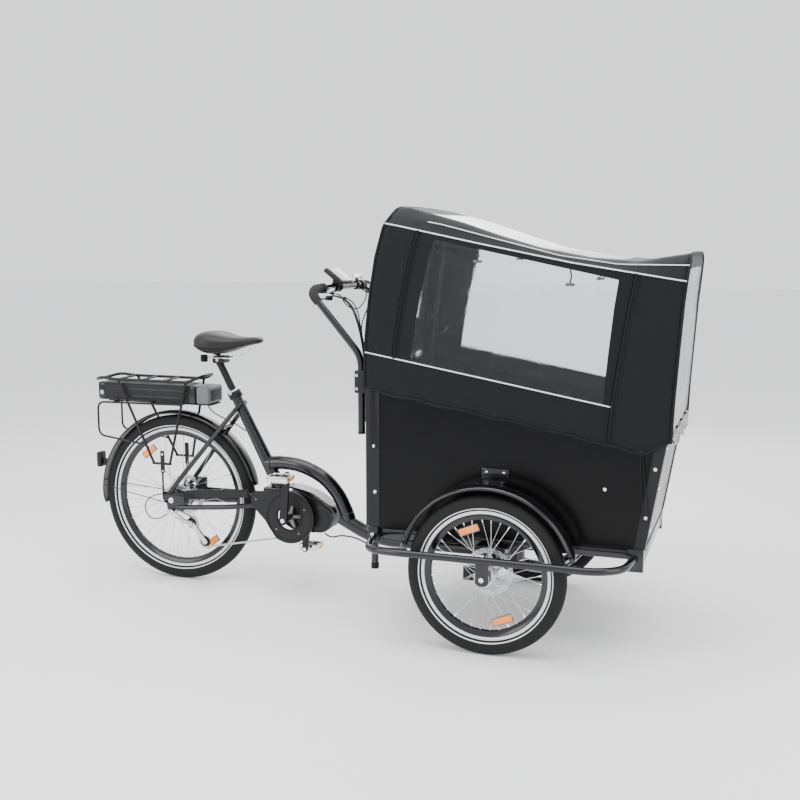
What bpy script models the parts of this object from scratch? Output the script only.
"""Cargo tricycle: rear-driven frame, steered cargo box with two wheels, and a passenger canopy.

Built in the tricycle's own axes: X forward from the rear axle, +Y to the rider's left, Z up from
the ground. A top empty then moves everything so the origin is under the middle of the whole.
"""
import math

import bmesh
import bpy
from mathutils import Matrix, Vector

for old in list(bpy.data.objects):
    bpy.data.objects.remove(old, do_unlink=True)

# ---------------------------------------------------------------- driving dimensions (metres)
GAP = 0.0003                 # clearance between pieces that touch
RUN = 0.0006                 # running clearance of a pin in its bore

WHEELBASE = 1.361            # rear axle to front axle
TRACK = 0.830                # between the front wheels' middle planes
REAR_RADIUS = 0.330          # rear tyre, outside
REAR_WIDTH = 0.052
FRONT_RADIUS = 0.265         # front tyre, outside
FRONT_WIDTH = 0.050
TYRE_DEPTH = 0.048           # from tread to rim edge
RIM_DEPTH = 0.033
RIM_HALF = 0.0125
ROTOR_RADIUS = 0.080
ROTOR_THICK = 0.002

BB_X = 0.503                 # crank axis
BB_Z = 0.302
CRANK_LENGTH = 0.176
CRANK_LEAN = math.radians(6)
PITCH = 0.0127               # chain pitch
CHAINRING_TEETH = 38
COG_TEETH = 19
JOCKEY_TEETH = 11
CHAIN_Y = -0.047
CHAIN_WIDTH = 0.0066
CHAIN_HALF_DEPTH = 0.004
ROOT_CLEAR = 0.0015           # chain to the wheel it runs on

SEAT_LEAN = math.radians(27.6)
SEAT_X = 0.271               # a point on the seat tube's axis
SEAT_Z = 0.714
SEAT_TUBE_R = 0.0200
SEAT_TUBE_LOW_R = 0.0265
SEAT_POST_R = 0.0140
TOP_TUBE_R = 0.0265
LOW_TUBE_R = 0.0270
STAY_R = 0.0105
LOW_TUBE_Z = 0.232           # axis of the lower tube where it runs under the box

BOX_REAR = 0.905
BOX_WIDTH = 0.610
BOX_FLOOR = 0.946            # length of the box at its floor
BOX_BOTTOM = 0.364           # underside of the side panels
BOX_REAR_TOP = 0.905         # height of the rear panel's top edge
FRONT_LEAN = math.radians(9.5)
TOP_SLOPE = math.radians(9.5)
PANEL = 0.012
POST = 0.050
POST_THICK = 0.003
RAIL_Y = 0.466               # outer wheel rails
RAIL_R = 0.0125
RAIL_Z = 0.326
SUB_TOP = 0.352              # top of the subframe's long rails
SUB_TUBE = 0.030

CANOPY_SKIN = 0.004
CANOPY_REAR_TOP = 1.448
LEAN_START = 1.0             # height where the canopy's rear edge begins to lean forward
CANOPY_FRONT_TOP = 1.300
CANOPY_SAG = 0.052
CANOPY_FRONT_X = 1.955       # the canopy's foremost plane at its top
HEM_REAR = 0.831
HEM_SLOPE = math.tan(math.radians(9.8))

REAR_END = -0.372            # tail reflector's rear face
HANDLE_Y = 0.280
HANDLE_R = 0.0125
HANDLE_TOP = 1.172
HANDLE_TOP_X = 0.700

WHEEL_SIDES = 24
SPOKES = 16

# ---------------------------------------------------------------- bodies and their joint axes
BOX_FRONT = BOX_REAR + BOX_FLOOR
SIDE_Y = BOX_WIDTH / 2
MIDDLE_X = (REAR_END + CANOPY_FRONT_X) / 2
BB = Vector((BB_X, 0, BB_Z))
CRANK_UP = Vector((math.sin(CRANK_LEAN), 0, math.cos(CRANK_LEAN)))
PEDAL_RIGHT = BB + CRANK_UP * CRANK_LENGTH
PEDAL_LEFT = BB - CRANK_UP * CRANK_LENGTH
RING_RADIUS = CHAINRING_TEETH * PITCH / math.tau
COG_RADIUS = COG_TEETH * PITCH / math.tau
JOCKEY_RADIUS = JOCKEY_TEETH * PITCH / math.tau
GUIDE = Vector((0.076, CHAIN_Y, REAR_RADIUS - 0.089))
TENSION = Vector((0.132, CHAIN_Y, REAR_RADIUS - 0.160))
SEAT_DIR = Vector((-math.sin(SEAT_LEAN), 0, math.cos(SEAT_LEAN)))


def on_seat_axis(z):
    """Point on the seat tube's axis at a height."""
    return Vector((SEAT_X - (z - SEAT_Z) * math.tan(SEAT_LEAN), 0, z))


SEAT_TUBE_TOP = on_seat_axis(0.762)
LEVER_PIVOT = SEAT_TUBE_TOP + Vector((0.0, -0.034, 0.0))
BAR_PIVOT_R = Vector((HANDLE_TOP_X + 0.030, -0.185, HANDLE_TOP - 0.004))
BAR_PIVOT_L = Vector((HANDLE_TOP_X + 0.030, 0.185, HANDLE_TOP - 0.004))
SHIFTER_PIVOT = Vector((HANDLE_TOP_X + 0.010, -0.150, HANDLE_TOP - 0.034))

bodies = {}
pivots = {}
materials = {}


def add_body(name, pivot, parent=None):
    """Empty on a joint's axis that carries everything moving with it."""
    empty = bpy.data.objects.new("body_" + name, None)
    bpy.context.scene.collection.objects.link(empty)
    pivots[name] = Vector(pivot)
    if parent is None:
        empty.location = Vector((-MIDDLE_X, 0, 0))
    else:
        empty.parent = bodies[parent]
        empty.location = pivots[name] - pivots[parent]
    bodies[name] = empty


add_body("frame", (0, 0, 0))
add_body("rear_wheel", (0, 0, REAR_RADIUS), "frame")
add_body("cassette", (0, 0, REAR_RADIUS), "frame")
add_body("upper_jockey", GUIDE, "frame")
add_body("lower_jockey", TENSION, "frame")
add_body("crank", BB, "frame")
add_body("pedal_right", PEDAL_RIGHT, "crank")
add_body("pedal_left", PEDAL_LEFT, "crank")
add_body("seat", SEAT_TUBE_TOP, "frame")
add_body("seat_lever", LEVER_PIVOT, "frame")
add_body("battery", (0, 0, 0.75), "frame")
add_body("box", (WHEELBASE, 0, 0.30), "frame")
add_body("front_wheel_right", (WHEELBASE, -TRACK / 2, FRONT_RADIUS), "box")
add_body("front_wheel_left", (WHEELBASE, TRACK / 2, FRONT_RADIUS), "box")
add_body("handlebar", (BOX_REAR - 0.024, 0, 0.85), "box")
add_body("brake_lever_right", BAR_PIVOT_R, "handlebar")
add_body("brake_lever_left", BAR_PIVOT_L, "handlebar")
add_body("shifter", SHIFTER_PIVOT, "handlebar")
add_body("canopy", (BOX_REAR, 0, HEM_REAR), "box")


# ---------------------------------------------------------------- helpers
def material(name, colour, roughness, metallic=0.0, alpha=1.0):
    """One Principled material per sub-part."""
    made = bpy.data.materials.new(name)
    made.use_nodes = True
    shader = made.node_tree.nodes["Principled BSDF"]
    shader.inputs["Base Color"].default_value = (*colour, 1.0)
    shader.inputs["Roughness"].default_value = roughness
    shader.inputs["Metallic"].default_value = metallic
    shader.inputs["Alpha"].default_value = alpha
    return made


BLACK = ((0.012, 0.012, 0.013), 0.16, 0.0)
SATIN = ((0.018, 0.018, 0.019), 0.45, 0.0)
RUBBER = ((0.020, 0.020, 0.020), 0.75, 0.0)
STEEL = ((0.55, 0.55, 0.56), 0.25, 1.0)
BRIGHT = ((0.75, 0.75, 0.76), 0.12, 1.0)
FABRIC = ((0.015, 0.015, 0.016), 0.85, 0.0)
PLY = ((0.020, 0.018, 0.017), 0.28, 0.0)


def finish_part(name, bm, body, look):
    """Turn a bmesh drawn in the tricycle's axes into a named object on its body."""
    bmesh.ops.recalc_face_normals(bm, faces=bm.faces)
    bmesh.ops.translate(bm, verts=bm.verts, vec=-pivots[body])
    mesh = bpy.data.meshes.new(name)
    bm.to_mesh(mesh)
    bm.free()
    mesh.shade_smooth()
    mesh.set_sharp_from_angle(angle=math.radians(35))
    part = bpy.data.objects.new(name, mesh)
    bpy.context.scene.collection.objects.link(part)
    part.parent = bodies[body]
    mesh.materials.append(material(name, *look))
    return part


def join(*pieces):
    """Collect separate solids that stay apart in one bmesh."""
    whole = bmesh.new()
    for piece in pieces:
        copy = bpy.data.meshes.new("copy")
        piece.to_mesh(copy)
        piece.free()
        whole.from_mesh(copy)
        bpy.data.meshes.remove(copy)
    return whole


def solid_object(bm, name):
    """Temporary object for a Boolean."""
    bmesh.ops.recalc_face_normals(bm, faces=bm.faces)
    mesh = bpy.data.meshes.new(name)
    bm.to_mesh(mesh)
    bm.free()
    made = bpy.data.objects.new(name, mesh)
    bpy.context.scene.collection.objects.link(made)
    return made


def combine(operation, pieces):
    """Boolean of several closed bmeshes, read back as one bmesh."""
    base = solid_object(pieces[0], "boolean_base")
    tools = [solid_object(piece, "boolean_tool") for piece in pieces[1:]]
    for tool in tools:
        modifier = base.modifiers.new("boolean", "BOOLEAN")
        modifier.operation = operation
        modifier.solver = "EXACT"
        modifier.object = tool
    graph = bpy.context.evaluated_depsgraph_get()
    result = bmesh.new()
    result.from_object(base, graph)
    for used in [base] + tools:
        mesh = used.data
        bpy.data.objects.remove(used)
        bpy.data.meshes.remove(mesh)
    bmesh.ops.remove_doubles(result, verts=result.verts, dist=0.00002)
    bmesh.ops.dissolve_degenerate(result, edges=result.edges, dist=0.00002)
    return result


def fuse(*pieces):
    return combine("UNION", list(pieces))


def cut(*pieces):
    return combine("DIFFERENCE", list(pieces))


def block(low, high, bevel=0.0, turn=None):
    """Box between two corners, with its edges rounded, turned about its middle if asked."""
    low = Vector(low)
    high = Vector(high)
    bm = bmesh.new()
    bmesh.ops.create_cube(bm, size=1.0)
    bmesh.ops.scale(bm, vec=high - low, verts=bm.verts)
    if bevel:
        bmesh.ops.bevel(bm, geom=bm.edges, offset=bevel, segments=1, affect="EDGES")
    if turn is not None:
        bmesh.ops.rotate(bm, cent=(0, 0, 0), matrix=turn, verts=bm.verts)
    bmesh.ops.translate(bm, vec=(low + high) / 2, verts=bm.verts)
    return bm


def rod(start, end, radius, sides=8, end_radius=None):
    """Straight round bar between two points."""
    start = Vector(start)
    end = Vector(end)
    along = end - start
    bm = bmesh.new()
    last = radius if end_radius is None else end_radius
    bmesh.ops.create_cone(bm, cap_ends=True, segments=sides, radius1=radius, radius2=last,
                          depth=along.length)
    turn = along.to_track_quat("Z", "Y").to_matrix()
    bmesh.ops.rotate(bm, cent=(0, 0, 0), matrix=turn, verts=bm.verts)
    bmesh.ops.translate(bm, vec=(start + end) / 2, verts=bm.verts)
    return bm


def turned(profile, centre, segments, flat_down=False):
    """Closed outline of (y, radius) points spun about an axis along Y."""
    bm = bmesh.new()
    grow = 1 / math.cos(math.pi / segments) if flat_down else 1.0
    first = -math.pi / 2 + (math.pi / segments if flat_down else 0.0)
    spin = Vector((math.cos(first), 0, math.sin(first)))
    points = [bm.verts.new(Vector((0, y, 0)) + spin * radius * grow) for y, radius in profile]
    edges = [bm.edges.new((points[i], points[(i + 1) % len(points)])) for i in range(len(points))]
    bmesh.ops.spin(bm, geom=points + edges, cent=(0, 0, 0), axis=(0, 1, 0), angle=math.tau,
                   steps=segments, use_merge=True)
    bmesh.ops.remove_doubles(bm, verts=bm.verts, dist=0.00001)
    bmesh.ops.translate(bm, vec=centre, verts=bm.verts)
    return bm


def plate(outline, low_y, high_y):
    """Flat plate: an (x, z) outline pushed out along Y."""
    bm = bmesh.new()
    face = bm.faces.new([bm.verts.new((x, low_y, z)) for x, z in outline])
    grown = bmesh.ops.extrude_face_region(bm, geom=[face])
    moved = [item for item in grown["geom"] if isinstance(item, bmesh.types.BMVert)]
    bmesh.ops.translate(bm, vec=(0, high_y - low_y, 0), verts=moved)
    return bm


def bent(corners, bend, steps=4):
    """Route along straight runs with each inner corner rounded by an arc."""
    corners = [Vector(corner) for corner in corners]
    route = [corners[0]]
    for before, corner, after in zip(corners, corners[1:], corners[2:]):
        back = (before - corner)
        ahead = (after - corner)
        reach = min(bend, back.length * 0.48, ahead.length * 0.48)
        start = corner + back.normalized() * reach
        end = corner + ahead.normalized() * reach
        for step in range(steps + 1):
            t = step / steps
            route.append(start * (1 - t) ** 2 + corner * 2 * t * (1 - t) + end * t ** 2)
    route.append(corners[-1])
    return route


def smooth(points, per_span=4):
    """Smooth curve through points (Catmull-Rom)."""
    points = [Vector(point) for point in points]
    ends = [2 * points[0] - points[1]] + points + [2 * points[-1] - points[-2]]
    route = []
    for a, b, c, d in zip(ends, ends[1:], ends[2:], ends[3:]):
        for step in range(per_span):
            t = step / per_span
            route.append(0.5 * (2 * b + (c - a) * t + (2 * a - 5 * b + 4 * c - d) * t * t
                                + (3 * b - a - 3 * c + d) * t ** 3))
    route.append(points[-1])
    return route


def tube(route, radius, detail=2, ring=False):
    """Round tube along a route: a curve with a bevel and filled ends, or a closed ring."""
    data = bpy.data.curves.new("tube", "CURVE")
    data.dimensions = "3D"
    data.bevel_depth = radius
    data.bevel_resolution = detail
    data.use_fill_caps = True
    data.twist_mode = "MINIMUM"
    line = data.splines.new("POLY")
    line.points.add(len(route) - 1)
    line.use_cyclic_u = ring
    for point, place in zip(line.points, route):
        point.co = (*place, 1.0)
    guide = bpy.data.objects.new("tube", data)
    bpy.context.scene.collection.objects.link(guide)
    graph = bpy.context.evaluated_depsgraph_get()
    mesh = bpy.data.meshes.new_from_object(guide.evaluated_get(graph))
    bm = bmesh.new()
    bm.from_mesh(mesh)
    bmesh.ops.remove_doubles(bm, verts=bm.verts, dist=0.00001)
    bpy.data.objects.remove(guide)
    bpy.data.curves.remove(data)
    bpy.data.meshes.remove(mesh)
    return bm


def arc(centre, radius, start_deg, end_deg, steps):
    """(x, z) points on an arc; angles from +X towards +Z."""
    points = []
    for step in range(steps + 1):
        angle = math.radians(start_deg + (end_deg - start_deg) * step / steps)
        points.append((centre[0] + radius * math.cos(angle), centre[1] + radius * math.sin(angle)))
    return points


# ---------------------------------------------------------------- wheels
def make_tyre(name, body, centre, radius, width):
    bead = radius - TYRE_DEPTH + GAP
    half = width / 2
    profile = [(-RIM_HALF, bead), (-half * 0.94, bead + 0.014), (-half, bead + 0.024),
               (-half * 0.76, radius - 0.007), (-half * 0.35, radius), (half * 0.35, radius),
               (half * 0.76, radius - 0.007), (half, bead + 0.024), (half * 0.94, bead + 0.014),
               (RIM_HALF, bead)]
    finish_part(name, turned(profile, centre, WHEEL_SIDES, True), body, RUBBER)


def make_rim(name, body, centre, radius):
    outer = radius - TYRE_DEPTH
    inner = outer - RIM_DEPTH
    profile = [(-RIM_HALF, outer), (RIM_HALF, outer), (RIM_HALF, outer - 0.015), (0.007, inner),
               (-0.007, inner), (-RIM_HALF, outer - 0.015)]
    finish_part(name, turned(profile, centre, WHEEL_SIDES, True), body, SATIN)


FLANGE_R = 0.0290            # spoke circle in the hub flanges
FLANGE_THICK = 0.0030
SPOKE_R = 0.0010
CROSS = math.radians(54)     # how far a spoke runs round the hub


def spokes(centre, radius, flanges):
    """Crossed spokes; each leaves the inner or outer side of its flange."""
    reach = radius - TYRE_DEPTH - RIM_DEPTH - GAP
    per_side = SPOKES // 2
    rods = []
    for side, flange_y in enumerate(flanges):
        outward = 1 if side else -1
        for k in range(per_side):
            rim_angle = math.tau * (k + side / 2) / per_side + 0.1
            lean = CROSS if k % 2 else -CROSS
            offset = FLANGE_THICK / 2 + SPOKE_R * 0.2
            place = outward * offset if k % 2 else -outward * offset
            hub_end = Vector((FLANGE_R * math.cos(rim_angle + lean), flange_y + place,
                              FLANGE_R * math.sin(rim_angle + lean)))
            rim_y = outward * 0.0030 + (outward * 0.0014 if k % 2 else 0.0)
            rim_end = Vector((reach * math.cos(rim_angle), rim_y, reach * math.sin(rim_angle)))
            rods.append(rod(centre + hub_end, centre + rim_end, SPOKE_R, 3))
    return join(*rods)


AXLE_R = 0.0050
REAR_INNER_Y = 0.0675        # inner faces of the rear dropouts
REAR_FLANGES = (-0.0200, 0.0340)
REAR_CENTRE = Vector((0, 0, REAR_RADIUS))
DROPOUT = 0.0060             # thickness of the rear dropouts
ROTOR_Y = 0.0480
FREEHUB_R = 0.0165


def make_rear_wheel():
    make_tyre("rear_tyre", "rear_wheel", REAR_CENTRE, REAR_RADIUS, REAR_WIDTH)
    make_rim("rear_rim", "rear_wheel", REAR_CENTRE, REAR_RADIUS)
    low, high = REAR_FLANGES
    half = FLANGE_THICK / 2
    end = REAR_INNER_Y - 0.0008
    edge = FLANGE_R + 0.003
    profile = [(-end, AXLE_R + RUN), (-end, FREEHUB_R), (low - 0.006, FREEHUB_R),
               (low - half, 0.020), (low - half, edge), (low + half, edge), (low + half, 0.0185),
               (high - half, 0.0185), (high - half, edge), (high + half, edge),
               (high + half, 0.021), (ROTOR_Y, 0.021), (ROTOR_Y, ROTOR_RADIUS),
               (ROTOR_Y + ROTOR_THICK, ROTOR_RADIUS), (ROTOR_Y + ROTOR_THICK, 0.010),
               (end, 0.010), (end, AXLE_R + RUN)]
    hub = fuse(turned(profile, REAR_CENTRE, 14), spokes(REAR_CENTRE, REAR_RADIUS, REAR_FLANGES))
    finish_part("rear_hub", hub, "rear_wheel", STEEL)


FRONT_INNER_Y = 0.050        # front dropout faces from the wheel's middle plane
FRONT_FLANGE = 0.030
FRONT_ROTOR_Y = 0.040


def make_front_wheel(side_name, side):
    """side is -1 on the rider's right and +1 on the left; the rotor is on the inner side."""
    body = "front_wheel_" + side_name
    centre = Vector((WHEELBASE, side * TRACK / 2, FRONT_RADIUS))
    make_tyre("front_tyre_" + side_name, body, centre, FRONT_RADIUS, FRONT_WIDTH)
    make_rim("front_rim_" + side_name, body, centre, FRONT_RADIUS)
    half = FLANGE_THICK / 2
    end = FRONT_INNER_Y - 0.0010
    edge = FLANGE_R + 0.003
    rotor = FRONT_ROTOR_Y
    profile = [(-end, AXLE_R + RUN), (-end, 0.012), (-FRONT_FLANGE - half, 0.016),
               (-FRONT_FLANGE - half, edge), (-FRONT_FLANGE + half, edge),
               (-FRONT_FLANGE + half, 0.0165), (FRONT_FLANGE - half, 0.0165),
               (FRONT_FLANGE - half, edge), (FRONT_FLANGE + half, edge),
               (FRONT_FLANGE + half, 0.020), (rotor, 0.020), (rotor, ROTOR_RADIUS),
               (rotor + ROTOR_THICK, ROTOR_RADIUS), (rotor + ROTOR_THICK, 0.012),
               (end, 0.012), (end, AXLE_R + RUN)]
    inward = [(-side * y, r) for y, r in profile]
    laced = spokes(centre, FRONT_RADIUS, (-FRONT_FLANGE, FRONT_FLANGE))
    finish_part("front_hub_" + side_name, fuse(turned(inward, centre, 14), laced), body, STEEL)


# ---------------------------------------------------------------- drive train
def make_cassette():
    """Stack of cogs on the freehub; the chain runs in the groove over the middle cog."""
    chain_low = CHAIN_Y - CHAIN_WIDTH / 2 - 0.0005
    chain_high = CHAIN_Y + CHAIN_WIDTH / 2 + 0.0005
    root = COG_RADIUS - CHAIN_HALF_DEPTH - ROOT_CLEAR
    bore = FREEHUB_R + 0.0009
    profile = [(-0.0640, bore), (-0.0640, 0.0235), (-0.0575, 0.0235), (-0.0575, 0.0290),
               (chain_low, 0.0290), (chain_low, root), (chain_high, root), (chain_high, 0.0475),
               (-0.0370, 0.0475), (-0.0370, 0.0530), (-0.0325, 0.0530), (-0.0325, 0.0585),
               (-0.0285, 0.0585), (-0.0285, bore)]
    finish_part("cassette", turned(profile, REAR_CENTRE, 16), "cassette", STEEL)


JOCKEY_BORE = 0.0030
JOCKEY_HALF = 0.0040


def make_jockeys():
    rim = JOCKEY_RADIUS - CHAIN_HALF_DEPTH - ROOT_CLEAR
    profile = [(-JOCKEY_HALF, JOCKEY_BORE), (-JOCKEY_HALF, rim), (JOCKEY_HALF, rim),
               (JOCKEY_HALF, JOCKEY_BORE)]
    for name, centre in (("upper_jockey", GUIDE), ("lower_jockey", TENSION)):
        finish_part(name + "_wheel", turned(profile, centre, 16), name, SATIN)


def tangent_points(first, r1, side1, second, r2, side2):
    """Where a straight run touches two pitch circles; side is +1 above and -1 below the run."""
    ax, az = first
    bx, bz = second
    dx, dz = bx - ax, bz - az
    distance = math.hypot(dx, dz)
    base = math.atan2(dz, dx)
    tilt = math.asin((side2 * r2 - side1 * r1) / distance)
    normal = base + tilt + math.pi / 2
    n = (math.cos(normal), math.sin(normal))
    return ((ax + side1 * r1 * n[0], az + side1 * r1 * n[1]),
            (bx + side2 * r2 * n[0], bz + side2 * r2 * n[1]))


def wrap(centre, start, end, clockwise, steps):
    """Points round a wheel from one touching point to another, ends left out."""
    a = math.atan2(start[1] - centre[1], start[0] - centre[0])
    b = math.atan2(end[1] - centre[1], end[0] - centre[0])
    radius = math.hypot(start[0] - centre[0], start[1] - centre[1])
    sweep = (b - a) % math.tau
    if clockwise:
        sweep -= math.tau
    return [(centre[0] + radius * math.cos(a + sweep * i / steps),
             centre[1] + radius * math.sin(a + sweep * i / steps)) for i in range(1, steps)]


def chain_route():
    """Pitch line of the chain in the (x, z) plane, followed the way the chain travels."""
    ring = (BB_X, BB_Z)
    cog = (0.0, REAR_RADIUS)
    tension = (TENSION.x, TENSION.z)
    guide = (GUIDE.x, GUIDE.z)
    top = tangent_points(cog, COG_RADIUS, 1, ring, RING_RADIUS, 1)
    low = tangent_points(ring, RING_RADIUS, 1, tension, JOCKEY_RADIUS, 1)
    cage = tangent_points(tension, JOCKEY_RADIUS, 1, guide, JOCKEY_RADIUS, -1)
    hook = tangent_points(guide, JOCKEY_RADIUS, -1, cog, COG_RADIUS, 1)
    route = [top[0], top[1]] + wrap(ring, top[1], low[0], True, 12) + [low[0], low[1]]
    route += wrap(tension, low[1], cage[0], True, 5) + [cage[0], cage[1]]
    route += wrap(guide, cage[1], hook[0], False, 5) + [hook[0], hook[1]]
    route += wrap(cog, hook[1], top[0], True, 8)
    return route


def make_chain():
    """Closed band along the pitch line, as wide and as deep as the chain."""
    route = chain_route()
    bm = bmesh.new()
    rings = []
    count = len(route)
    for i, (x, z) in enumerate(route):
        before = Vector(route[i - 1])
        after = Vector(route[(i + 1) % count])
        here = Vector((x, z))
        into = (here - before).normalized()
        away = (after - here).normalized()
        normal = Vector((-(into.y + away.y), into.x + away.x)).normalized()
        depth = CHAIN_HALF_DEPTH / max(0.5, normal.dot(Vector((-away.y, away.x))))
        ring = []
        for sy, sn in ((-1, -1), (1, -1), (1, 1), (-1, 1)):
            spot = here + normal * depth * sn
            ring.append(bm.verts.new((spot.x, CHAIN_Y + sy * CHAIN_WIDTH / 2, spot.y)))
        rings.append(ring)
    for i, ring in enumerate(rings):
        following = rings[(i + 1) % count]
        for k in range(4):
            m = (k + 1) % 4
            bm.faces.new((ring[k], ring[m], following[m], following[k]))
    finish_part("chain", bm, "frame", STEEL)


def make_derailleur():
    """Hanger bolt, parallelogram body and the cage that carries both jockey wheels."""
    inner_y = CHAIN_Y + JOCKEY_HALF + 0.0010
    outer_y = CHAIN_Y - JOCKEY_HALF - 0.0010
    thick = 0.0016
    direction = TENSION - GUIDE
    angle = math.degrees(math.atan2(direction.z, direction.x))
    outline = arc((GUIDE.x, GUIDE.z), 0.011, angle + 90, angle + 270, 5)
    outline += arc((TENSION.x, TENSION.z), 0.011, angle - 90, angle + 90, 5)
    outer = plate(outline, outer_y - thick, outer_y)
    inner = plate(outline, inner_y, inner_y + thick)
    pins = [rod((p.x, outer_y - thick - 0.001, p.z), (p.x, inner_y + thick + 0.001, p.z),
                JOCKEY_BORE - 0.0006, 8) for p in (GUIDE, TENSION)]
    knuckle = rod((GUIDE.x, outer_y - 0.018, GUIDE.z), (GUIDE.x, outer_y - 0.0005, GUIDE.z),
                  0.011, 10)
    arm = tube(bent([(GUIDE.x - 0.002, -0.068, GUIDE.z + 0.002), (0.040, -0.088, 0.268),
                     (0.000, -0.083, 0.292)], 0.02), 0.0095, 1)
    bolt = rod((-0.004, -0.0765, REAR_RADIUS - 0.040), (-0.004, -0.094, REAR_RADIUS - 0.040),
               0.009, 10)
    finish_part("derailleur", fuse(outer, inner, *pins, knuckle, arm, bolt), "frame", STEEL)


SPINDLE_R = 0.0120
CRANK_Y = 0.112              # inner faces of the crank arms


def make_crank():
    ring_half = 0.0012
    rim = RING_RADIUS - CHAIN_HALF_DEPTH - ROOT_CLEAR
    reach = CRANK_Y - GAP
    profile = [(-reach, 0.0), (-reach, SPINDLE_R), (CHAIN_Y - 0.006, SPINDLE_R),
               (CHAIN_Y - ring_half, 0.030), (CHAIN_Y - ring_half, rim),
               (CHAIN_Y + ring_half, rim), (CHAIN_Y + ring_half, SPINDLE_R),
               (reach, SPINDLE_R), (reach, 0.0)]
    finish_part("chainring", turned(profile, BB, 18), "crank", STEEL)
    for name, side, end in (("crank_right", -1, PEDAL_RIGHT), ("crank_left", 1, PEDAL_LEFT)):
        low_y, high_y = sorted((side * CRANK_Y, side * (CRANK_Y + 0.014)))
        angle = math.degrees(math.atan2(end.z - BB_Z, end.x - BB_X))
        outline = arc((BB_X, BB_Z), 0.0170, angle + 90, angle + 270, 6)
        outline += arc((end.x, end.z), 0.0125, angle - 90, angle + 90, 6)
        arm = plate(outline, low_y, high_y)
        hole = rod((end.x, side * 0.10, end.z), (end.x, side * 0.14, end.z), 0.0052, 10)
        finish_part(name, cut(arm, hole), "crank", SATIN)


PEDAL_Y = 0.178
PEDAL_LONG = 0.088
PEDAL_WIDE = 0.066
PEDAL_TALL = 0.024


def make_pedal(name, side, centre):
    """Caged pedal, toes forward, with its pin in the crank's eye."""
    x, z = centre.x, centre.z
    y = side * PEDAL_Y
    outer = block((x - PEDAL_LONG / 2, y - PEDAL_WIDE / 2, z - PEDAL_TALL / 2),
                  (x + PEDAL_LONG / 2, y + PEDAL_WIDE / 2, z + PEDAL_TALL / 2), 0.004)
    slots = [block((x + sx * 0.0255 - 0.0125, y - 0.024, z - 0.05),
                   (x + sx * 0.0255 + 0.0125, y + 0.024, z + 0.05)) for sx in (-1, 1)]
    cage = cut(outer, *slots)
    pin = rod((x, side * (CRANK_Y + 0.001), z), (x, side * (PEDAL_Y + 0.02), z), 0.0046, 10)
    finish_part(name, fuse(cage, pin), name, BRIGHT)


COVER_R = 0.101
COVER_OPENING = 0.048
COVER_Y = 0.0600             # inner face of the chain cover
COVER_THICK = 0.009


def make_chain_cover():
    """Teardrop plate outside the chainring, narrowing along the upper chainstay."""
    outline = arc((BB_X, BB_Z), COVER_R, -125, 100, 18)
    outline += [(BB_X - 0.080, BB_Z + 0.097), (0.352, 0.388), (0.343, 0.360), (0.356, 0.330),
                (0.404, 0.285), (BB_X - 0.082, BB_Z - 0.048)]
    cover = plate(outline, -COVER_Y - COVER_THICK, -COVER_Y)
    hole = rod((BB_X, -0.10, BB_Z), (BB_X, -0.03, BB_Z), COVER_OPENING, 20)
    finish_part("chain_cover", cut(cover, hole), "frame", SATIN)


MOTOR_HALF = 0.038


def make_motor():
    """Motor and gearbox shell round the crank spindle, with the shaft's bore cut through."""
    outline = [(0.452, 0.332), (0.470, 0.385), (0.500, 0.398), (0.541, 0.391), (0.580, 0.380),
               (0.612, 0.364)]
    outline += arc((0.612, 0.300), 0.056, 50, -110, 9)
    outline += [(0.545, 0.248), (0.503, 0.246), (0.466, 0.268), (0.452, 0.300)]
    shell = plate(outline, -MOTOR_HALF, MOTOR_HALF + 0.012)
    bmesh.ops.bevel(shell, geom=shell.edges, offset=0.006, segments=1, affect="EDGES")
    drum = rod((0.612, -0.040, 0.300), (0.612, 0.058, 0.300), 0.050, 20)
    shaft = rod((BB_X, -0.10, BB_Z), (BB_X, 0.10, BB_Z), SPINDLE_R + RUN, 20)
    finish_part("motor_housing", cut(fuse(shell, drum), shaft), "frame", SATIN)


# ---------------------------------------------------------------- rear frame and what it carries
STAY_Y = 0.0705


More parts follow.
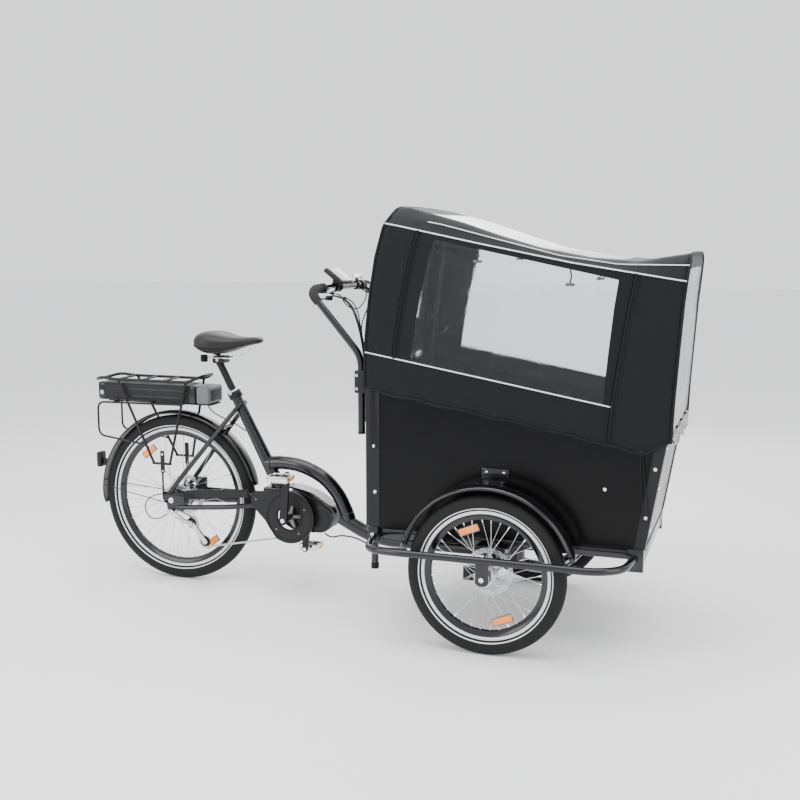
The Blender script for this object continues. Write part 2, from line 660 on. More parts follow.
def make_rear_frame():
    axis_low = on_seat_axis(0.400)
    seat_tube = rod(axis_low, SEAT_TUBE_TOP, SEAT_TUBE_LOW_R, 14, SEAT_TUBE_R)
    top_tube = tube(smooth([(0.385, 0, 0.490), (0.455, 0, 0.497), (0.538, 0, 0.486),
                            (0.620, 0, 0.448), (0.675, 0, 0.392), (0.706, 0, 0.335),
                            (0.722, 0, 0.296)], 2), TOP_TUBE_R, 3)
    head_x = WHEELBASE
    low_tube = tube(bent([(0.690, 0, 0.3005), (0.830, 0, LOW_TUBE_Z), (head_x, 0, LOW_TUBE_Z)],
                         0.12), LOW_TUBE_R, 3)
    head = rod((head_x, 0, LOW_TUBE_Z - 0.032), (head_x, 0, SUB_TOP - 2 * SUB_TUBE - 0.002),
               0.036, 16)
    kingpin = rod((head_x, 0, LOW_TUBE_Z), (head_x, 0, SUB_TOP - 0.004), 0.0120, 14)
    bracket = block((0.380, -0.034, 0.318), (0.4515, 0.034, 0.4020), 0.004)
    pieces = [seat_tube, top_tube, low_tube, head, kingpin, bracket]
    dropout = [(-0.040, 0.336), (-0.018, 0.314), (-0.020, 0.284), (0.008, 0.280), (0.020, 0.300),
               (0.050, 0.288), (0.062, 0.305), (0.056, 0.356), (0.014, 0.368), (-0.038, 0.362)]
    for side in (-1, 1):
        y = side * STAY_Y
        low_y, high_y = sorted((side * REAR_INNER_Y, side * (REAR_INNER_Y + DROPOUT)))
        ear = plate(dropout, low_y, high_y)
        pieces.append(ear)
        pieces.append(tube(bent([(0.288, side * 0.010, 0.722), (0.262, side * 0.036, 0.689),
                                 (0.052, side * 0.0720, 0.432),
                                 (-0.003, side * 0.0745, 0.362)], 0.03, 2), 0.0095, 1))
        pieces.append(tube(bent([(0.032, y, 0.304), (0.250, side * 0.064, 0.320),
                                 (0.400, side * 0.030, 0.338)], 0.10, 2), STAY_R, 1))
    pieces.append(tube(bent([(0.030, STAY_Y, 0.350), (0.250, 0.064, 0.352),
                             (0.400, 0.030, 0.362)], 0.10, 2), STAY_R, 1))
    shield = plate([(0.034, 0.343), (0.062, 0.372), (0.120, 0.380), (0.333, 0.396),
                    (0.336, 0.366), (0.200, 0.352), (0.070, 0.338)], -0.0720, -0.0590)
    bmesh.ops.bevel(shield, geom=shield.edges, offset=0.003, segments=1, affect="EDGES")
    pieces.append(shield)
    bridge = rod((0.211, -0.043, 0.625), (0.211, 0.043, 0.625), 0.006, 8)
    pieces.append(bridge)
    axle = rod((0, -0.0840, REAR_RADIUS), (0, 0.0840, REAR_RADIUS), AXLE_R, 10)
    face = REAR_INNER_Y + DROPOUT - 0.0005
    nut_r = rod((0, -face - 0.006, REAR_RADIUS), (0, -face, REAR_RADIUS), 0.0085, 6)
    nut_l = rod((0, face, REAR_RADIUS), (0, face + 0.006, REAR_RADIUS), 0.0085, 6)
    pieces += [axle, nut_r, nut_l]
    collar = rod(on_seat_axis(0.738), on_seat_axis(0.763), SEAT_TUBE_R + 0.0062, 18)
    pieces.append(collar)
    whole = fuse(*pieces)
    bore = rod(on_seat_axis(0.480), on_seat_axis(0.800), SEAT_POST_R + RUN, 16)
    finish_part("rear_frame", cut(whole, bore), "frame", BLACK)


def make_motor_cover():
    """Glossy lid over the motor, between the seat tube's bracket and the lower tube."""
    under = [(0.476, 0.4065), (0.502, 0.4045), (0.541, 0.3975), (0.582, 0.3865),
             (0.616, 0.3665)] + arc((0.612, 0.300), 0.0600, 46, 18, 3)
    over = arc((0.612, 0.300), 0.0680, 18, 46, 3)
    over += [(0.620, 0.3745), (0.584, 0.3945), (0.541, 0.4060), (0.502, 0.4130),
             (0.474, 0.4140)]
    lid = plate(under + over, -0.034, 0.034)
    bmesh.ops.bevel(lid, geom=lid.edges, offset=0.0015, segments=1, affect="EDGES")
    finish_part("motor_cover", lid, "frame", BLACK)


def guard(centre, radius, half, start_deg, end_deg, steps, body_y=0.0):
    """Crowned mudguard strip along an arc, closed at both ends."""
    thick = 0.0022
    crown = [(-half, -0.011), (-half * 0.72, -0.003), (0.0, 0.0), (half * 0.72, -0.003),
             (half, -0.011)]
    profile = [(y, radius + dr) for y, dr in crown]
    profile += [(y * 0.94, radius + dr - thick) for y, dr in reversed(crown)]
    bm = bmesh.new()
    rings = []
    for step in range(steps + 1):
        angle = math.radians(start_deg + (end_deg - start_deg) * step / steps)
        rings.append([bm.verts.new((centre[0] + r * math.cos(angle), body_y + y,
                                    centre[1] + r * math.sin(angle))) for y, r in profile])
    count = len(profile)
    for first, second in zip(rings, rings[1:]):
        for k in range(count):
            m = (k + 1) % count
            bm.faces.new((first[k], first[m], second[m], second[k]))
    bm.faces.new(rings[0])
    bm.faces.new(rings[-1])
    return bm


REAR_GUARD = 0.350


def make_rear_mudguard():
    strip = guard((0, REAR_RADIUS), REAR_GUARD, 0.030, 12, 188, 15)
    x = REAR_END
    lamp = block((x, -0.020, 0.430), (x + 0.045, 0.020, 0.490), 0.006)
    foot = block((x + 0.030, -0.008, 0.440), (x + 0.0446, 0.008, 0.462))
    wires = []
    for side in (-1, 1):
        wires.append(tube([(-0.3395, side * 0.0270, 0.363), (-0.300, side * 0.0400, 0.358),
                           (-0.060, side * 0.0775, 0.328), (-0.014, side * 0.0765, 0.322)], 0.0020, 1))
    finish_part("rear_mudguard", fuse(strip, lamp, foot, *wires), "frame", BLACK)


RACK_Z = 0.799
RACK_Y = 0.071
TRAY_Z = 0.7140              # top of the battery tray


def make_rack():
    loop = bent([(0.0, -RACK_Y, RACK_Z), (-0.245, -RACK_Y, RACK_Z), (-0.300, -RACK_Y, 0.806),
                 (-0.352, -0.030, 0.790), (-0.352, 0.030, 0.790), (-0.300, RACK_Y, 0.806),
                 (-0.245, RACK_Y, RACK_Z), (0.0, RACK_Y, RACK_Z), (0.085, RACK_Y, RACK_Z),
                 (0.134, 0.050, 0.822), (0.134, -0.050, 0.822), (0.085, -RACK_Y, RACK_Z)],
                0.028, 1)
    pieces = [tube(loop, 0.0060, 1, True)]
    for x in (-0.230, -0.130, -0.030, 0.065):
        pieces.append(rod((x, -RACK_Y, RACK_Z), (x, RACK_Y, RACK_Z), 0.0042, 6))
    for x in (-0.240, -0.080, 0.050):
        pieces.append(rod((x, -0.084, TRAY_Z - 0.004), (x, 0.084, TRAY_Z - 0.004), 0.0038, 6))
    pieces.append(block((-0.290, -0.040, TRAY_Z - 0.0065), (0.168, 0.040, TRAY_Z), 0.001))
    for side in (-1, 1):
        pieces.append(tube([(-0.225, side * RACK_Y, RACK_Z), (-0.062, side * 0.088, 0.478)],
                           0.0052, 1))
        pieces.append(tube([(0.078, side * RACK_Y, RACK_Z), (0.008, side * 0.088, 0.478)],
                           0.0052, 1))
        pieces.append(rod((-0.068, side * 0.088, 0.478), (0.014, side * 0.088, 0.478), 0.0050, 6))
        pieces.append(tube(bent([(0.064, side * 0.0825, 0.712), (-0.312, side * 0.0825, 0.708),
                                 (-0.312, side * 0.0825, 0.576), (-0.098, side * 0.0835, 0.548)],
                                0.03, 2), 0.0042, 1))
        low_y, high_y = sorted((side * 0.0915, side * 0.0955))
        pieces.append(block((-0.030, low_y, 0.443), (-0.012, high_y, 0.530)))
        pieces.append(tube([(-0.021, side * 0.0950, 0.466), (-0.024, side * 0.0900, 0.400),
                            (-0.031, side * 0.0790, 0.350)], 0.0040, 1))
    finish_part("rack", fuse(*pieces), "frame", BLACK)


BATTERY_FRONT = 0.110


def make_battery():
    z = TRAY_Z + GAP
    case = block((-0.322, -0.060, z), (BATTERY_FRONT, 0.060, z + 0.070), 0.008)
    grip = block((-0.336, -0.030, z + 0.040), (-0.318, 0.030, z + 0.054), 0.003)
    finish_part("battery", fuse(case, grip), "battery", SATIN)
    dock = block((BATTERY_FRONT + 0.0008, -0.058, z), (0.168, 0.058, z + 0.068), 0.010)
    finish_part("battery_dock", dock, "frame", SATIN)


def make_seat():
    low = on_seat_axis(0.610)
    high = on_seat_axis(0.866)
    finish_part("seat_post", rod(low, high, SEAT_POST_R, 16), "seat", BLACK)
    barrel = rod(LEVER_PIVOT - SEAT_DIR * 0.010, LEVER_PIVOT + SEAT_DIR * 0.010, 0.0055, 10)
    tip = LEVER_PIVOT + Vector((0.046, -0.004, 0.026))
    handle = tube(smooth([LEVER_PIVOT, LEVER_PIVOT + Vector((0.024, -0.005, 0.012)), tip], 2),
                  0.0045, 1)
    finish_part("seat_clamp_lever", fuse(barrel, handle), "seat_lever", SATIN)
    head_x = high.x
    clamp = block((head_x - 0.020, -0.030, 0.8725), (head_x + 0.026, 0.030, 0.9000), 0.003)
    neck = rod(high + SEAT_DIR * 0.0004, high + SEAT_DIR * 0.022, SEAT_POST_R + 0.001, 12)
    rails = [clamp, neck]
    for side in (-1, 1):
        rails.append(tube(bent([(0.133, side * 0.052, 0.897), (0.165, side * 0.024, 0.8930),
                                (0.255, side * 0.024, 0.8930), (0.318, side * 0.014, 0.9300)],
                               0.02, 2), 0.0036, 1))
        rails.append(rod((0.150, side * 0.052, 0.880), (0.150, side * 0.052, 0.9055), 0.0150, 8))
    finish_part("saddle_rails", fuse(*rails), "seat", SATIN)
    stations = [(0.114, 0.055, 0.972, 0.945), (0.124, 0.086, 0.988, 0.924),
                (0.150, 0.102, 0.995, 0.9085), (0.190, 0.104, 0.993, 0.9065),
                (0.225, 0.090, 0.984, 0.9100), (0.260, 0.064, 0.976, 0.9190),
                (0.300, 0.040, 0.974, 0.9350), (0.340, 0.032, 0.977, 0.9460),
                (0.362, 0.026, 0.975, 0.9500), (0.370, 0.014, 0.969, 0.9570)]
    bm = bmesh.new()
    rings = []
    count = 12
    for x, half, top, bottom in stations:
        ring = []
        for k in range(count):
            angle = math.tau * k / count
            cy, sz = math.cos(angle), math.sin(angle)
            y = half * math.copysign(abs(cy) ** 0.8, cy)
            middle = (top + bottom) / 2
            z = middle + (top - bottom) / 2 * math.copysign(abs(sz) ** 0.75, sz)
            ring.append(bm.verts.new((x, y, z)))
        rings.append(ring)
    for first, second in zip(rings, rings[1:]):
        for k in range(count):
            m = (k + 1) % count
            bm.faces.new((first[k], first[m], second[m], second[k]))
    bm.faces.new(rings[0])
    bm.faces.new(rings[-1])
    finish_part("saddle", bm, "seat", SATIN)


def make_rear_caliper():
    body = block((0.046, 0.0385, 0.356), (0.090, 0.0595, 0.404), 0.003)
    slot_low = ROTOR_Y - 0.0010
    slot = block((0.030, slot_low, 0.300), (0.0835, slot_low + ROTOR_THICK + 0.0020, 0.3970))
    finish_part("rear_brake_caliper", cut(body, slot), "frame", SATIN)


def make_frame_cables():
    """Three lines clipped to the frame: battery lead, gear cable, motor lead."""
    battery = smooth([(0.150, -0.030, 0.7060), (0.172, -0.034, 0.684), (0.212, -0.022, 0.660),
                      (0.255, -0.010, 0.638), (0.285, -0.004, 0.618), (0.2975, -0.003, 0.611)], 2)
    gear = smooth([(0.110, -0.0790, 0.352), (0.040, -0.0870, 0.356), (-0.030, -0.0920, 0.358),
                   (-0.085, -0.0940, 0.338), (-0.105, -0.0940, 0.300), (-0.085, -0.0940, 0.262),
                   (-0.048, -0.0910, 0.258), (-0.0155, -0.0860, 0.276)], 3)
    motor = smooth([(0.632, -0.030, 0.2420), (0.660, -0.028, 0.230), (0.700, -0.020, 0.236),
                    (0.750, -0.010, 0.229), (0.800, 0.0, 0.207), (0.850, 0.0, 0.199),
                    (0.950, 0.0, 0.201)], 3)
    finish_part("battery_cable", tube(battery, 0.0024, 0), "frame", RUBBER)
    finish_part("gear_cable", tube(gear, 0.0022, 0), "frame", RUBBER)
    finish_part("motor_cable", tube(motor, 0.0030, 0), "frame", RUBBER)


# ---------------------------------------------------------------- cargo box
def top_edge(x):
    """Height of the box's sloping top edge."""
    return BOX_REAR_TOP - (x - BOX_REAR) * math.tan(TOP_SLOPE)


def front_x(z):
    """The leaning front face of the box."""
    return BOX_FRONT + (z - BOX_BOTTOM) * math.tan(FRONT_LEAN)


def front_top(inset=0.0):
    """Height where the front face, set back by inset, meets the sloping top edge."""
    k = math.tan(FRONT_LEAN)
    t = math.tan(TOP_SLOPE)
    x0 = BOX_FRONT - inset - BOX_BOTTOM * k
    return (BOX_REAR_TOP + (BOX_REAR - x0) * t) / (1 + k * t)


FLOOR_Z = SUB_TOP + GAP
PANEL_Y = SIDE_Y - POST_THICK - GAP      # outer face of the side panels


def make_panels():
    inset = POST_THICK + GAP
    for name, side in (("side_panel_right", -1), ("side_panel_left", 1)):
        z_top = front_top(inset)
        outline = [(BOX_REAR + inset, BOX_BOTTOM), (BOX_FRONT - inset, BOX_BOTTOM),
                   (front_x(z_top) - inset, z_top), (BOX_REAR + inset, top_edge(BOX_REAR + inset))]
        low_y, high_y = sorted((side * PANEL_Y, side * (PANEL_Y - PANEL)))
        bench_bolt = bolt(1.719, 0.550, PANEL_Y, side)
        finish_part(name, fuse(plate(outline, low_y, high_y), bench_bolt), "box", PLY)
    inner_y = PANEL_Y - PANEL - GAP
    rear_x = BOX_REAR + inset
    rear = block((rear_x, -inner_y, BOX_BOTTOM), (rear_x + PANEL, inner_y, top_edge(rear_x + PANEL)))
    finish_part("rear_panel", rear, "box", PLY)
    z_top = front_top(inset)
    k = PANEL / math.cos(FRONT_LEAN)
    outline = [(BOX_FRONT - inset - k, BOX_BOTTOM), (BOX_FRONT - inset, BOX_BOTTOM),
               (front_x(z_top) - inset, z_top), (front_x(z_top) - inset - k, z_top)]
    finish_part("front_panel", plate(outline, -inner_y, inner_y), "box", PLY)
    floor = block((rear_x + PANEL + GAP, -inner_y, FLOOR_Z),
                  (BOX_FRONT - inset - k - 0.002, inner_y, FLOOR_Z + PANEL))
    finish_part("box_floor", floor, "box", PLY)
    seat_top = 0.590
    seat = block((BOX_REAR + 0.035, -inner_y + 0.0006, seat_top - PANEL),
                 (BOX_REAR + 0.315, inner_y - 0.0006, seat_top), 0.003)
    riser = block((BOX_REAR + 0.290, -inner_y + 0.0006, FLOOR_Z + PANEL + GAP),
                  (BOX_REAR + 0.302, inner_y - 0.0006, seat_top - PANEL + 0.002))
    finish_part("bench", fuse(seat, riser), "box", PLY)


def bolt(x, z, face, side):
    """Domed bolt head on a side face, sunk a little so it joins what it holds."""
    return rod((x, side * (face - 0.0010), z), (x, side * (face + 0.0045), z), 0.0065, 8, 0.0035)


CLAMP_LOW = 0.822
CLAMP_HIGH = 0.900
HANDLE_X = BOX_REAR - 0.024


def bar_clamp(side):
    """Sleeve on the rear post that one leg of the handlebar slides in."""
    y = side * HANDLE_Y
    return block((HANDLE_X - 0.0200, y - 0.0180, CLAMP_LOW),
                 (BOX_REAR + 0.0010, y + 0.0180, CLAMP_HIGH), 0.003)


def angle_post(outline, top_of, lean):
    """Angle profile: an L outline in plan carried up from the box's underside."""
    bm = bmesh.new()
    low = [bm.verts.new((x, y, BOX_BOTTOM)) for x, y in outline]
    high = []
    for x, y in outline:
        z = top_of(x)
        high.append(bm.verts.new((x + (z - BOX_BOTTOM) * math.tan(lean), y, z)))
    bm.faces.new(low)
    bm.faces.new(high)
    for k in range(len(low)):
        m = (k + 1) % len(low)
        bm.faces.new((low[k], low[m], high[m], high[k]))
    return bm


def make_corner_posts():
    """Angle profiles outside the four corners; the front pair leans with the front face."""
    for side in (-1, 1):
        side_name = "right" if side < 0 else "left"
        outer = side * SIDE_Y
        inner = side * (SIDE_Y - POST_THICK)
        y_in = side * (SIDE_Y - POST)
        x = BOX_REAR
        plan = [(x, outer), (x + POST, outer), (x + POST, inner), (x + POST_THICK, inner),
                (x + POST_THICK, y_in), (x, y_in)]
        angle = angle_post(plan, top_edge, 0.0)
        screws = [bolt(0.935, 0.644, SIDE_Y, side), bolt(0.938, 0.485, SIDE_Y, side)]
        for z in (0.40, 0.56):
            screws.append(rod((BOX_REAR + 0.0010, side * 0.285, z),
                              (BOX_REAR - 0.0060, side * 0.285, z), 0.0075, 8, 0.0040))
        bore = rod((HANDLE_X, side * HANDLE_Y, CLAMP_LOW - 0.02),
                   (HANDLE_X, side * HANDLE_Y, CLAMP_HIGH + 0.02), HANDLE_R + RUN, 16)
        post = cut(fuse(angle, bar_clamp(side), *screws), bore)
        finish_part("rear_post_" + side_name, post, "box", SATIN)
        x = BOX_FRONT
        width = POST * 0.7
        plan = [(x, outer), (x - width, outer), (x - width, inner), (x - POST_THICK, inner),
                (x - POST_THICK, y_in), (x, y_in)]
        angle = angle_post(plan, lambda place: front_top(), FRONT_LEAN)
        hooks = [bolt(1.875, 0.626, SIDE_Y, side), bolt(1.850, 0.467, SIDE_Y, side)]
        finish_part("front_post_" + side_name, fuse(angle, *hooks), "box", SATIN)


SUB_Y = 0.270                # middle of the long rails
LEG_R = 0.0125


def make_subframe():
    """Welded chassis under the box: rails, cross tubes, outer wheel rails and dropouts."""
    low = SUB_TOP - SUB_TUBE
    front = BOX_FRONT - 0.004
    rear = BOX_REAR + 0.006
    pieces = []
    for side in (-1, 1):
        y = side * SUB_Y
        pieces.append(block((rear, y - SUB_TUBE / 2, low), (front, y + SUB_TUBE / 2, SUB_TOP)))
    for x in (rear + 0.016, WHEELBASE - 0.075, WHEELBASE + 0.075, front - 0.016):
        pieces.append(block((x - 0.0150, -SUB_Y, low - 0.012), (x + 0.0150, SUB_Y, SUB_TOP - 0.004)))
    plate_low = SUB_TOP - 2 * SUB_TUBE + 0.0004
    pieces.append(block((WHEELBASE - 0.088, -0.060, plate_low),
                        (WHEELBASE + 0.088, 0.060, low - 0.004)))
    pieces.append(rod((WHEELBASE, 0, plate_low), (WHEELBASE, 0, SUB_TOP - 0.002), 0.030, 16))
    for side in (-1, 1):
        wheel_y = side * TRACK / 2
        inner_y = wheel_y - side * (FRONT_INNER_Y + 0.003)
        outer_y = wheel_y + side * (FRONT_INNER_Y + 0.003)
        for x_low, x_high, bottom in ((rear, rear + 0.036, 0.294), (front - 0.050, front, 0.286)):
            for inner, high in ((0.284, SUB_TOP), (0.2905, BOX_BOTTOM - 0.002)):
                across = sorted((side * inner, side * 0.3006))
                pieces.append(block((x_low, across[0], bottom), (x_high, across[1], high)))
        rail = bent([(rear + 0.012, side * 0.292, 0.318), (rear + 0.050, side * 0.440, 0.322),
                     (rear + 0.140, side * RAIL_Y, RAIL_Z), (WHEELBASE, side * RAIL_Y, RAIL_Z),
                     (front - 0.130, side * RAIL_Y, RAIL_Z - 0.002),
                     (front - 0.052, side * 0.420, 0.325), (front - 0.030, side * 0.292, 0.330)],
                    0.06, 2)
        pieces.append(tube(rail, RAIL_R, 1))
        drop = [(WHEELBASE - 0.022, 0.334), (WHEELBASE - 0.022, 0.250),
                (WHEELBASE - 0.012, 0.244), (WHEELBASE + 0.012, 0.244),
                (WHEELBASE + 0.022, 0.250), (WHEELBASE + 0.022, 0.334)]
        outer = plate(drop, min(outer_y - 0.003, outer_y + 0.003),
                      max(outer_y - 0.003, outer_y + 0.003))
        inner = plate(drop, min(inner_y - 0.003, inner_y + 0.003),
                      max(inner_y - 0.003, inner_y + 0.003))
        pieces += [outer, inner]
        arm_y = sorted((side * SUB_Y, inner_y + side * 0.001))
        for dx in (-0.040, 0.040):
            pieces.append(block((WHEELBASE + dx - 0.010, arm_y[0], low),
                                (WHEELBASE + dx + 0.010, arm_y[1], low + 0.022)))
        beam = sorted((inner_y - side * 0.003, inner_y + side * 0.003))
        pieces.append(block((WHEELBASE - 0.050, beam[0], low - 0.001),
                            (WHEELBASE + 0.050, beam[1], low + 0.022)))
        axle_ends = sorted((inner_y - side * 0.008, outer_y + side * 0.008))
        pieces.append(rod((WHEELBASE, axle_ends[0], FRONT_RADIUS),
                          (WHEELBASE, axle_ends[1], FRONT_RADIUS), AXLE_R, 10))
        pieces.append(rod((rear + 0.022, side * 0.292, 0.212), (rear + 0.022, side * 0.292, 0.300),
                          LEG_R, 8))
        pieces += [bolt(0.926, 0.332, 0.3006, side), bolt(1.815, 0.314, 0.3006, side)]
    whole = fuse(*pieces, *front_calipers())
    socket = rod((WHEELBASE, 0, plate_low - 0.02), (WHEELBASE, 0, SUB_TOP - 0.003),
                 0.0120 + RUN, 20)
    finish_part("box_subframe", cut(whole, socket), "box", BLACK)


def front_calipers():
    """Brake calipers on tabs of the inner dropouts."""
    bodies_made = []
    for side in (-1, 1):
        centre_y = side * (TRACK / 2 - FRONT_ROTOR_Y - ROTOR_THICK / 2)
        x = WHEELBASE - 0.062
        z = FRONT_RADIUS - 0.010
        body = block((x - 0.024, centre_y - 0.0105, z - 0.024),
                     (x + 0.020, centre_y + 0.0105, z + 0.024), 0.003)
        slot = block((x - 0.018, centre_y - 0.0022, z - 0.030), (x + 0.040, centre_y + 0.0022, z + 0.030))
        held_y = side * (TRACK / 2 - FRONT_INNER_Y - 0.003)
        tab = block((x - 0.020, min(held_y - 0.003, held_y + 0.003), z - 0.016),
                    (WHEELBASE - 0.018, max(held_y - 0.003, held_y + 0.003), z + 0.016))
        reach = sorted((held_y, centre_y - side * 0.006))
        boss = block((x - 0.018, reach[0], z - 0.012), (x - 0.004, reach[1], z + 0.012))
        bodies_made += [cut(fuse(body, boss), slot), tab]
    return bodies_made


FRONT_GUARD = 0.300


def make_front_mudguards():
    """Arched guards over the wheels, each held to the box side by a tab at its crown."""
    for side in (-1, 1):
        y = side * (TRACK / 2 - 0.004)
        strip = guard((WHEELBASE, FRONT_RADIUS), FRONT_GUARD, 0.036, 14, 166, 12, y)
        top = FRONT_RADIUS + FRONT_GUARD
        ends = sorted((side * (SIDE_Y + 0.0004), side * (TRACK / 2 - 0.030)))
        tab = block((WHEELBASE - 0.045, ends[0], top - 0.0085), (WHEELBASE + 0.045, ends[1], top - 0.0045))
        lift = sorted((side * (SIDE_Y + 0.0004), side * (SIDE_Y + 0.0030)))
        fixing = block((WHEELBASE - 0.045, lift[0], top - 0.0085),
                       (WHEELBASE + 0.045, lift[1], top + 0.030))
        name = "front_mudguard_right" if side < 0 else "front_mudguard_left"
        finish_part(name, fuse(strip, tab, fixing), "box", BLACK)


# ---------------------------------------------------------------- handlebar
def make_handlebar():
    route = bent([(HANDLE_X, -HANDLE_Y, 0.684), (HANDLE_X, -HANDLE_Y, 0.946),
                  (HANDLE_TOP_X + 0.004, -HANDLE_Y, HANDLE_TOP - 0.018),
                  (HANDLE_TOP_X, -HANDLE_Y + 0.030, HANDLE_TOP),
                  (HANDLE_TOP_X, HANDLE_Y - 0.030, HANDLE_TOP),
                  (HANDLE_TOP_X + 0.004, HANDLE_Y, HANDLE_TOP - 0.018),
                  (HANDLE_X, HANDLE_Y, 0.946), (HANDLE_X, HANDLE_Y, 0.684)], 0.040, 2)
    bar = [tube(route, HANDLE_R, 2)]
    for side in (-1, 1):
        path = bent([(HANDLE_TOP_X + 0.024, side * HANDLE_Y, HANDLE_TOP - 0.045),
                     (HANDLE_TOP_X + 0.004, side * HANDLE_Y, HANDLE_TOP - 0.018),
                     (HANDLE_TOP_X, side * (HANDLE_Y - 0.030), HANDLE_TOP),
                     (HANDLE_TOP_X, side * 0.2120, HANDLE_TOP)], 0.040, 2)
        outer = tube(path, HANDLE_R + 0.0045, 2)
        core = tube(route, HANDLE_R + 0.0004, 2)
        name = "grip_right" if side < 0 else "grip_left"
        finish_part(name, cut(outer, core), "handlebar", RUBBER)
    x, z = HANDLE_TOP_X, HANDLE_TOP
    for side in (-1, 1):
        band = rod((x, side * 0.192, z), (x, side * 0.178, z), HANDLE_R + 0.0060, 16)
        eye = rod((x + 0.0300, side * 0.185, z - 0.0170), (x + 0.0300, side * 0.185, z - 0.0104),
                  0.0080, 10)
        arm = block((x + 0.010, side * 0.185 - 0.0065, z - 0.0170),
                    (x + 0.030, side * 0.185 + 0.0065, z - 0.0104))
        bar += [band, eye, arm]
    finish_part("handlebar", fuse(*bar), "handlebar", BLACK)
    for name, pivot, side in (("brake_lever_right", BAR_PIVOT_R, -1),
                              ("brake_lever_left", BAR_PIVOT_L, 1)):
        hub = rod(pivot + Vector((0, 0, -0.0060)), pivot + Vector((0, 0, 0.0050)), 0.0085, 12)
        inner = pivot + Vector((0.004, 0, 0))
        blade = tube(smooth([inner, pivot + Vector((0.022, side * 0.026, 0.0)),
                             pivot + Vector((0.026, side * 0.060, -0.002)),
                             pivot + Vector((0.028, side * 0.088, -0.004))], 3), 0.0050, 1)
        finish_part(name, fuse(hub, blade), name, BRIGHT)
    spot = SHIFTER_PIVOT
    drum = rod(spot + Vector((0, 0, -0.010)), spot + Vector((0, 0, 0.006)), 0.0125, 14)
    thumb = block(spot + Vector((-0.034, -0.006, -0.008)), spot + Vector((-0.008, 0.006, -0.002)),
                  0.002)
    finish_part("shifter", fuse(drum, thumb), "shifter", SATIN)
    tilt = Matrix.Rotation(math.radians(38), 3, "Y")
    screen = block((x - 0.034, -0.112, z + 0.030), (x + 0.050, 0.000, z + 0.048), 0.005, tilt)
    foot = block((x - 0.004, -0.086, z + 0.006), (x + 0.014, -0.026, z + 0.040), 0.002)
    ring = rod((x, -0.080, z), (x, -0.032, z), HANDLE_R + 0.0055, 16)
    bore = rod((x, -0.10, z), (x, 0.01, z), HANDLE_R + 0.0006, 20)
    finish_part("display", cut(fuse(screen, foot, ring), bore), "handlebar", SATIN)
    base = rod((x, 0.128, z), (x, 0.142, z), HANDLE_R + 0.0050, 16)
    stem = rod((x + 0.004, 0.135, z + 0.008), (x + 0.006, 0.135, z + 0.030), 0.0050, 8)
    dome = rod((x + 0.006, 0.135, z + 0.026), (x + 0.010, 0.135, z + 0.044), 0.0220, 12, 0.010)
    bore = rod((x, 0.12, z), (x, 0.15, z), HANDLE_R + 0.0006, 20)
    finish_part("bell", cut(fuse(base, stem, dome), bore), "handlebar", BRIGHT)


def make_bar_cables():
    """Brake, gear and display lines, gathered by a clip behind the rear hoop."""
    x, z = HANDLE_TOP_X, HANDLE_TOP
    foot = 0.712
    lines = []
    for i, (y, drop) in enumerate(((-0.165, 0.0), (-0.118, 0.010), (-0.055, 0.020), (0.165, 0.0))):
        lane = -0.222 + 0.0085 * i
        points = [(x + 0.026, y, z - 0.026 - drop * 0.5), (x + 0.060, y * 0.98, z - 0.034 - drop),
                  (x + 0.110, (y + lane) / 2, z - 0.064 - drop), (x + 0.150, lane, z - 0.135),
                  (HANDLE_X - 0.012, lane, z - 0.240), (HANDLE_X - 0.008, lane, 0.860),
                  (HANDLE_X - 0.006, lane, foot)]
        lines.append(tube(smooth(points, 2), 0.0024, 0))
    clip = block((HANDLE_X - 0.0105, -0.227, 0.792), (HANDLE_X - 0.0035, -0.1915, 0.806), 0.001)
    finish_part("bar_cables", fuse(clip, *lines), "handlebar", RUBBER)


# ---------------------------------------------------------------- canopy
CANOPY_Y = SIDE_Y + 0.0015 + CANOPY_SKIN      # outer face of the canopy sides
CORNER = 0.070                                # radius of the rounded roof edges
HOOP_R = 0.0060
REAR_HEM = BOX_REAR_TOP + 0.010               # the rear wall stops above the handlebar sleeves


def hem_z(x):
    return HEM_REAR - (x - BOX_REAR) * HEM_SLOPE


def roof_z(x):
    """Roof line between the two hoops, sagging towards the front hoop."""
    t = (x - 0.985) / (CANOPY_FRONT_X - 0.015 - 0.985)
    straight = CANOPY_REAR_TOP + (CANOPY_FRONT_TOP - CANOPY_REAR_TOP) * t
    if t < 0:
        return CANOPY_REAR_TOP + t * 0.35
    return straight - CANOPY_SAG * math.sin(math.pi * min(1.0, t) ** 1.25)


def canopy_outline(x, grow, top, hem):
    """Half-round-cornered arch across the box, listed from the right hem to the left hem."""
    half = CANOPY_Y - CANOPY_SKIN + grow
    crown = top - CANOPY_SKIN + grow
    radius = CORNER - CANOPY_SKIN + grow
    points = [(x, -half, hem), (x, -half, max(REAR_HEM, hem + 0.03)),
              (x, -half, (hem + crown - radius) / 2 + 0.05)]
    for step in range(5):
        angle = math.pi - math.pi / 2 * step / 4
        points.append((x, -half + radius + radius * math.cos(angle),
                       crown - radius + radius * math.sin(angle)))
    points.append((x, 0.0, crown + 0.004))
    return points + [(px, -py, pz) for px, py, pz in reversed(points[:-1])]


def rear_x(z):
    """The canopy's rear edge is upright beside the box and leans forward above it."""
    low = BOX_REAR - CANOPY_SKIN - 0.0008
    if z < LEAN_START:
        return low
    return low + 0.10 * ((z - LEAN_START) / (CANOPY_REAR_TOP + 0.002 - LEAN_START)) ** 1.6


def front_face_x(z):
    """Foremost face of the canopy at a height."""
    return CANOPY_FRONT_X - (CANOPY_FRONT_TOP - z) * 0.054


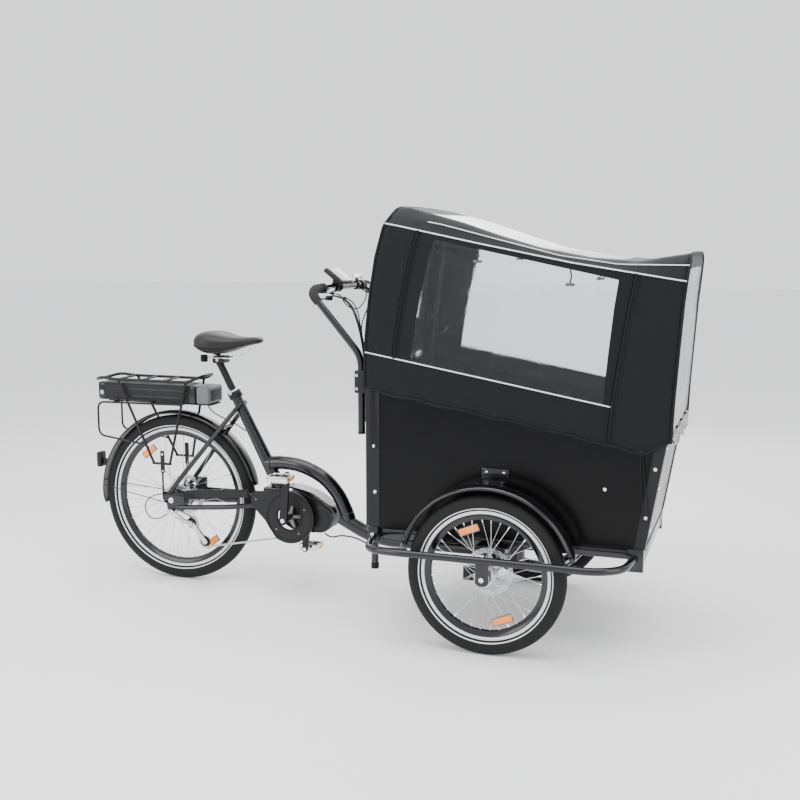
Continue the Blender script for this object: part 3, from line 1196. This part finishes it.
def canopy_section(t, grow):
    """Arch at a fraction of the canopy's length; its hem, sides and roof each keep their line."""
    rear_shift = -grow
    points = []
    x_mid = 0.985 + (CANOPY_FRONT_X - 0.985) * t
    for px, py, pz in canopy_outline(x_mid, grow, roof_z(x_mid), hem_z(x_mid)):
        back = rear_x(pz) + CANOPY_SKIN + rear_shift
        front = front_face_x(pz) - CANOPY_SKIN + grow
        points.append((back + (front - back) * t, py, pz))
    return points


def make_canopy():
    """Closed shell of even thickness: sides, roof and both end walls, open underneath."""
    steps = 7
    outer = [canopy_section(i / steps, CANOPY_SKIN) for i in range(steps + 1)]
    inner = [canopy_section(i / steps, 0.0) for i in range(steps + 1)]
    bm = bmesh.new()
    skins = []
    for skin in (outer, inner):
        grid = [[bm.verts.new(point) for point in ring] for ring in skin]
        for first, second in zip(grid, grid[1:]):
            for k in range(len(first) - 1):
                bm.faces.new((first[k], first[k + 1], second[k + 1], second[k]))
        for ring, first_band in ((grid[0], 1), (grid[-1], 0)):
            for k in range(first_band, len(ring) // 2):
                m = len(ring) - 1 - k
                if m - k > 2:
                    bm.faces.new((ring[k], ring[k + 1], ring[m - 1], ring[m]))
                elif m - k == 2:
                    bm.faces.new((ring[k], ring[k + 1], ring[m]))
        skins.append(grid)
    outside, inside = skins
    border, lining = [[grid[0][-2], grid[0][1]] + [ring[0] for ring in grid]
                      + [ring[-1] for ring in reversed(grid)] for grid in (outside, inside)]
    for k in range(len(border)):
        m = (k + 1) % len(border)
        bm.faces.new((border[k], border[m], lining[m], lining[k]))
    finish_part("canopy_cover", fuse(bm, *canopy_ties()), "canopy", FABRIC)


def make_hoops():
    """Two bent poles inside the cover, with feet just inside the box's side panels."""
    y = PANEL_Y - PANEL - 0.012
    fall = (CANOPY_REAR_TOP - CANOPY_FRONT_TOP) * 0.040    # roof's drop from its rear edge to the hoop
    rear_top = CANOPY_REAR_TOP - fall - CANOPY_SKIN - HOOP_R
    for name, foot_x, foot_z, top_x, top_z in (
            ("hoop_rear", BOX_REAR + 0.040, 0.780, 1.020, rear_top),
            ("hoop_front", front_x(0.66) - 0.050, 0.640, CANOPY_FRONT_X - 0.034,
             CANOPY_FRONT_TOP - CANOPY_SKIN - HOOP_R - 0.010)):
        mid_x = foot_x + (top_x - foot_x) * 0.55
        route = bent([(foot_x, -y, foot_z), (mid_x, -y, (foot_z + top_z) / 2 + 0.05),
                      (top_x, -y, top_z), (top_x, y, top_z),
                      (mid_x, y, (foot_z + top_z) / 2 + 0.05), (foot_x, y, foot_z)], 0.085, 4)
        finish_part(name, tube(route, HOOP_R, 1), "canopy", SATIN)


def canopy_ties():
    """Doubled elastic cords from the hem's corner gathers, looped past the side bolts."""
    ties = []
    y = CANOPY_Y + 0.0045
    for side in (-1, 1):
        for top_x, low_x, low_z in ((0.927, 0.935, 0.644), (1.832, 1.850, 0.467)):
            top_z = hem_z(top_x) - 0.004
            root = (top_x - 0.003, side * (CANOPY_Y - 0.002), top_z + 0.012)
            end = (top_x + 0.003, side * (CANOPY_Y - 0.002), top_z + 0.012)
            loop = [root, (top_x - 0.003, side * y, top_z), (low_x - 0.0085, side * y, low_z + 0.010),
                    (low_x - 0.006, side * y, low_z - 0.006), (low_x, side * y, low_z - 0.0105),
                    (low_x + 0.006, side * y, low_z - 0.006),
                    (low_x + 0.0085, side * y, low_z + 0.010), (top_x + 0.003, side * y, top_z), end]
            ties.append(tube(bent(loop, 0.004, 1), 0.0016, 0))
    return ties


make_rear_wheel()
make_front_wheel("right", -1)
make_front_wheel("left", 1)
make_cassette()
make_jockeys()
make_chain()
make_derailleur()
make_crank()
make_pedal("pedal_right", -1, PEDAL_RIGHT)
make_pedal("pedal_left", 1, PEDAL_LEFT)
make_chain_cover()
make_motor()
make_motor_cover()
make_rear_frame()
make_rear_mudguard()
make_rack()
make_battery()
make_seat()
make_rear_caliper()
make_frame_cables()
make_panels()
make_corner_posts()
make_subframe()
make_front_mudguards()
make_handlebar()
make_bar_cables()
make_canopy()
make_hoops()
